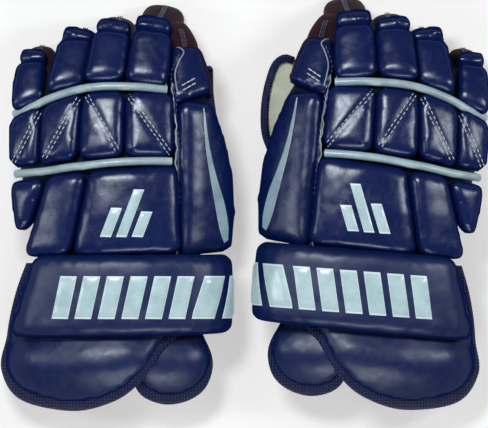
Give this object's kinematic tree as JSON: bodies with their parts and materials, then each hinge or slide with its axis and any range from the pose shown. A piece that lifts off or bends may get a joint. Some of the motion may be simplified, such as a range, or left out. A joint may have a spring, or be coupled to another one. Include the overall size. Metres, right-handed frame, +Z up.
{
  "type": "ice hockey gloves",
  "caption": "Pair of padded ice hockey gloves lying palm down, with curling fingers, hinged thumbs, a crossing cuff roll and flared cuff flaps.",
  "frame": {"origin": "middle of the pair's bounding box, on the surface it lies on", "axes": "+X from the left-hand glove to the right-hand glove, +Y from the cuffs to the fingertips, +Z up"},
  "size_m": [0.3988, 0.3348, 0.0901],
  "materials": {
    "hand_lining": "napped mesh lining, open at the wrist and knuckles",
    "palm_leather": "matt brown synthetic nash",
    "navy_leather": "glossy padded synthetic leather rolls",
    "pale_piping": "smooth pale grey-blue piping",
    "finger_lining": "finger pockets of dark mesh",
    "finger_tips": "fingertips of brown nash with a navy roll sewn on",
    "cuff_lining": "soft wrist pocket"
  },
  "bodies": {
    "left_hand": {"left_hand_liner": "hand_lining", "left_palm": "palm_leather", "left_back_pad_main": "navy_leather", "left_back_pad_ring": "navy_leather", "left_back_pad_pinkie": "navy_leather", "left_knuckle_pad_index": "navy_leather", "left_knuckle_pad_middle": "navy_leather", "left_knuckle_pad_ring": "navy_leather", "left_knuckle_pad_pinkie": "navy_leather", "left_piping_upper": "pale_piping", "left_piping_lower": "pale_piping"},
    "left_index_base": {"left_index_sleeve": "finger_lining", "left_index_pad": "navy_leather"},
    "left_index_end": {"left_index_tip": "finger_tips"},
    "left_middle_base": {"left_middle_sleeve": "finger_lining", "left_middle_pad": "navy_leather"},
    "left_middle_end": {"left_middle_tip": "finger_tips"},
    "left_ring_base": {"left_ring_sleeve": "finger_lining", "left_ring_pad": "navy_leather"},
    "left_ring_end": {"left_ring_tip": "finger_tips"},
    "left_pinkie_base": {"left_pinkie_sleeve": "finger_lining", "left_pinkie_pad": "navy_leather"},
    "left_pinkie_end": {"left_pinkie_tip": "finger_tips"},
    "left_thumb_base": {"left_thumb_pad": "navy_leather", "left_thumb_sleeve": "finger_lining"},
    "left_thumb_end": {"left_thumb_tip": "finger_tips"},
    "left_cuff": {"left_cuff_liner": "cuff_lining", "left_cuff_roll": "navy_leather", "left_cuff_flap_outer": "navy_leather", "left_cuff_flap_inner": "navy_leather"},
    "right_hand": {"right_hand_liner": "hand_lining", "right_palm": "palm_leather", "right_back_pad_main": "navy_leather", "right_back_pad_ring": "navy_leather", "right_back_pad_pinkie": "navy_leather", "right_knuckle_pad_index": "navy_leather", "right_knuckle_pad_middle": "navy_leather", "right_knuckle_pad_ring": "navy_leather", "right_knuckle_pad_pinkie": "navy_leather", "right_piping_upper": "pale_piping", "right_piping_lower": "pale_piping"},
    "right_index_base": {"right_index_sleeve": "finger_lining", "right_index_pad": "navy_leather"},
    "right_index_end": {"right_index_tip": "finger_tips"},
    "right_middle_base": {"right_middle_sleeve": "finger_lining", "right_middle_pad": "navy_leather"},
    "right_middle_end": {"right_middle_tip": "finger_tips"},
    "right_ring_base": {"right_ring_sleeve": "finger_lining", "right_ring_pad": "navy_leather"},
    "right_ring_end": {"right_ring_tip": "finger_tips"},
    "right_pinkie_base": {"right_pinkie_sleeve": "finger_lining", "right_pinkie_pad": "navy_leather"},
    "right_pinkie_end": {"right_pinkie_tip": "finger_tips"},
    "right_thumb_base": {"right_thumb_pad": "navy_leather", "right_thumb_sleeve": "finger_lining"},
    "right_thumb_end": {"right_thumb_tip": "finger_tips"},
    "right_cuff": {"right_cuff_liner": "cuff_lining", "right_cuff_roll": "navy_leather", "right_cuff_flap_outer": "navy_leather", "right_cuff_flap_inner": "navy_leather"}
  },
  "joints": [
    {"name": "left_index_knuckle", "type": "hinge", "parent": "left_hand", "child": "left_index_base", "pos_m": [-0.08294, 0.10312, 0.06034], "axis": [-0.9889, 0.139, 0.0523], "range_deg": [-8, 35], "stiffness_Nm_per_rad": 0.25},
    {"name": "left_index_curl", "type": "hinge", "parent": "left_index_base", "child": "left_index_end", "pos_m": [-0.07804, 0.14223, 0.04906], "axis": [-0.9889, 0.139, 0.0523], "range_deg": [-6.2, 27.1], "stiffness_Nm_per_rad": 0.12},
    {"name": "left_middle_knuckle", "type": "hinge", "parent": "left_hand", "child": "left_middle_base", "pos_m": [-0.11764, 0.10462, 0.06005], "axis": [-0.9848, 0.1736, 0], "range_deg": [-8, 35], "stiffness_Nm_per_rad": 0.25},
    {"name": "left_middle_curl", "type": "hinge", "parent": "left_middle_base", "child": "left_middle_end", "pos_m": [-0.11107, 0.14187, 0.04702], "axis": [-0.9848, 0.1736, 0], "range_deg": [-6.2, 27.1], "stiffness_Nm_per_rad": 0.12},
    {"name": "left_ring_knuckle", "type": "hinge", "parent": "left_hand", "child": "left_ring_base", "pos_m": [-0.14934, 0.09812, 0.05483], "axis": [-0.9768, 0.2076, -0.0523], "range_deg": [-8, 35], "stiffness_Nm_per_rad": 0.25},
    {"name": "left_ring_curl", "type": "hinge", "parent": "left_ring_base", "child": "left_ring_end", "pos_m": [-0.14081, 0.13497, 0.04183], "axis": [-0.9768, 0.2076, -0.0523], "range_deg": [-6.2, 27.1], "stiffness_Nm_per_rad": 0.12},
    {"name": "left_pinkie_knuckle", "type": "hinge", "parent": "left_hand", "child": "left_pinkie_base", "pos_m": [-0.17984, 0.08412, 0.04525], "axis": [-0.9919, 0.0346, -0.1219], "range_deg": [-8, 35], "stiffness_Nm_per_rad": 0.25},
    {"name": "left_pinkie_curl", "type": "hinge", "parent": "left_pinkie_base", "child": "left_pinkie_end", "pos_m": [-0.17736, 0.11734, 0.03451], "axis": [-0.9919, 0.0346, -0.1219], "range_deg": [-6.2, 27.1], "stiffness_Nm_per_rad": 0.12},
    {"name": "left_thumb_seam", "type": "hinge", "parent": "left_hand", "child": "left_thumb_base", "pos_m": [-0.05664, 0.02262, 0.0605], "axis": [0, 1, 0], "range_deg": [-5, 8], "stiffness_Nm_per_rad": 0.6},
    {"name": "left_thumb_curl", "type": "hinge", "parent": "left_thumb_base", "child": "left_thumb_end", "pos_m": [-0.04114, 0.08912, 0.05341], "axis": [-0.913, -0.0319, 0.4067], "range_deg": [0, 22], "stiffness_Nm_per_rad": 0.2},
    {"name": "left_wrist", "type": "hinge", "parent": "left_hand", "child": "left_cuff", "pos_m": [-0.10414, -0.03738, 0.07], "axis": [1, 0, 0], "range_deg": [-12, 12], "stiffness_Nm_per_rad": 2.5},
    {"name": "right_index_knuckle", "type": "hinge", "parent": "right_hand", "child": "right_index_base", "pos_m": [0.09054, 0.10805, 0.06034], "axis": [-0.9968, -0.061, -0.0523], "range_deg": [-8, 35], "stiffness_Nm_per_rad": 0.25},
    {"name": "right_index_curl", "type": "hinge", "parent": "right_index_base", "child": "right_index_end", "pos_m": [0.08872, 0.14743, 0.04906], "axis": [-0.9968, -0.061, -0.0523], "range_deg": [-6.2, 27.1], "stiffness_Nm_per_rad": 0.12},
    {"name": "right_middle_knuckle", "type": "hinge", "parent": "right_hand", "child": "right_middle_base", "pos_m": [0.12525, 0.10683, 0.06005], "axis": [-0.9954, -0.0958, 0], "range_deg": [-8, 35], "stiffness_Nm_per_rad": 0.25},
    {"name": "right_middle_curl", "type": "hinge", "parent": "right_middle_base", "child": "right_middle_end", "pos_m": [0.12163, 0.14447, 0.04702], "axis": [-0.9954, -0.0958, 0], "range_deg": [-6.2, 27.1], "stiffness_Nm_per_rad": 0.12},
    {"name": "right_ring_knuckle", "type": "hinge", "parent": "right_hand", "child": "right_ring_base", "pos_m": [0.15634, 0.09786, 0.05483], "axis": [-0.9901, -0.1303, 0.0523], "range_deg": [-8, 35], "stiffness_Nm_per_rad": 0.25},
    {"name": "right_ring_curl", "type": "hinge", "parent": "right_ring_base", "child": "right_ring_end", "pos_m": [0.15073, 0.13527, 0.04183], "axis": [-0.9901, -0.1303, 0.0523], "range_deg": [-6.2, 27.1], "stiffness_Nm_per_rad": 0.12},
    {"name": "right_pinkie_knuckle", "type": "hinge", "parent": "right_hand", "child": "right_pinkie_base", "pos_m": [0.18565, 0.08151, 0.04525], "axis": [-0.9916, 0.0433, 0.1219], "range_deg": [-8, 35], "stiffness_Nm_per_rad": 0.25},
    {"name": "right_pinkie_curl", "type": "hinge", "parent": "right_pinkie_base", "child": "right_pinkie_end", "pos_m": [0.18579, 0.11482, 0.03451], "axis": [-0.9916, 0.0433, 0.1219], "range_deg": [-6.2, 27.1], "stiffness_Nm_per_rad": 0.12},
    {"name": "right_thumb_seam", "type": "hinge", "parent": "right_hand", "child": "right_thumb_base", "pos_m": [0.05801, 0.02986, 0.0605], "axis": [-0.0785, -0.9969, 0], "range_deg": [-5, 8], "stiffness_Nm_per_rad": 0.6},
    {"name": "right_thumb_curl", "type": "hinge", "parent": "right_thumb_base", "child": "right_thumb_end", "pos_m": [0.04777, 0.09738, 0.05341], "axis": [-0.9077, 0.1034, -0.4067], "range_deg": [0, 22], "stiffness_Nm_per_rad": 0.2},
    {"name": "right_wrist", "type": "hinge", "parent": "right_hand", "child": "right_cuff", "pos_m": [0.10065, -0.03368, 0.07], "axis": [0.9969, -0.0785, 0], "range_deg": [-12, 12], "stiffness_Nm_per_rad": 2.5},
    {"name": "pair_apart", "type": "slide", "parent": "left_hand", "child": "right_hand", "axis": [1, 0, 0], "range_m": [0, 0.15]}
  ],
  "couplings": [
    {"joint": "left_index_curl", "follows": "left_index_knuckle", "ratio": 0.77},
    {"joint": "left_middle_curl", "follows": "left_middle_knuckle", "ratio": 0.77},
    {"joint": "left_ring_curl", "follows": "left_ring_knuckle", "ratio": 0.77},
    {"joint": "left_pinkie_curl", "follows": "left_pinkie_knuckle", "ratio": 0.77},
    {"joint": "right_index_curl", "follows": "right_index_knuckle", "ratio": 0.77},
    {"joint": "right_middle_curl", "follows": "right_middle_knuckle", "ratio": 0.77},
    {"joint": "right_ring_curl", "follows": "right_ring_knuckle", "ratio": 0.77},
    {"joint": "right_pinkie_curl", "follows": "right_pinkie_knuckle", "ratio": 0.77}
  ]
}
